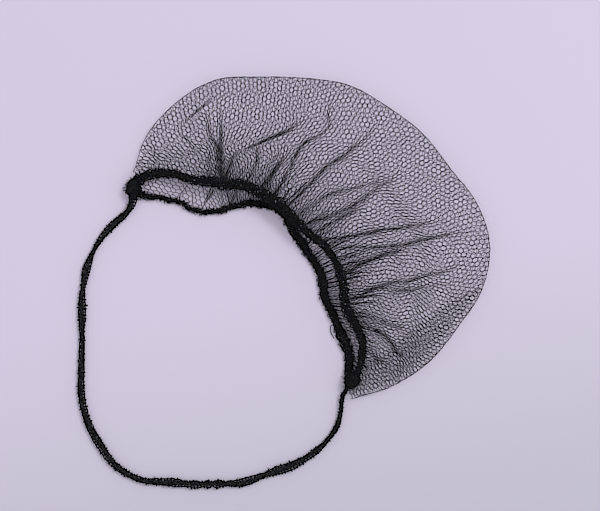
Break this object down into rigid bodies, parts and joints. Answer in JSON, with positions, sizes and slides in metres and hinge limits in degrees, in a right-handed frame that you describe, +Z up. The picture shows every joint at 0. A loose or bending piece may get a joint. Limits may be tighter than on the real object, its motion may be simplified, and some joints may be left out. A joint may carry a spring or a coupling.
{
  "type": "beard net",
  "caption": "Fine net pouch gathered on an elastic mouth rim, with an elastic head loop from corner to corner, lying loose and open on a flat surface",
  "frame": {"origin": "middle of the net pouch's box in plan, on the surface that the net lies on", "axes": "+X runs along the mouth from its left corner to its right corner, +Y from the mouth to the chin end of the pouch, +Z up from the surface"},
  "size_m": [0.2192, 0.2739, 0.0183],
  "materials": {
    "net_thread": "matt black nylon thread, knotted as a six-sided net",
    "rim_yarn": "matt black covered elastic, gathered and slightly fuzzy",
    "knot_yarn": "matt black wound yarn",
    "loop_elastic": "matt black knitted elastic yarn"
  },
  "bodies": {
    "root": {"net_upper_layer": "net_thread", "net_lower_layer": "net_thread", "rim_band_upper": "rim_yarn", "rim_band_lower": "rim_yarn", "corner_knot_left": "knot_yarn", "corner_knot_right": "knot_yarn", "head_loop": "loop_elastic"}
  },
  "joints": []
}
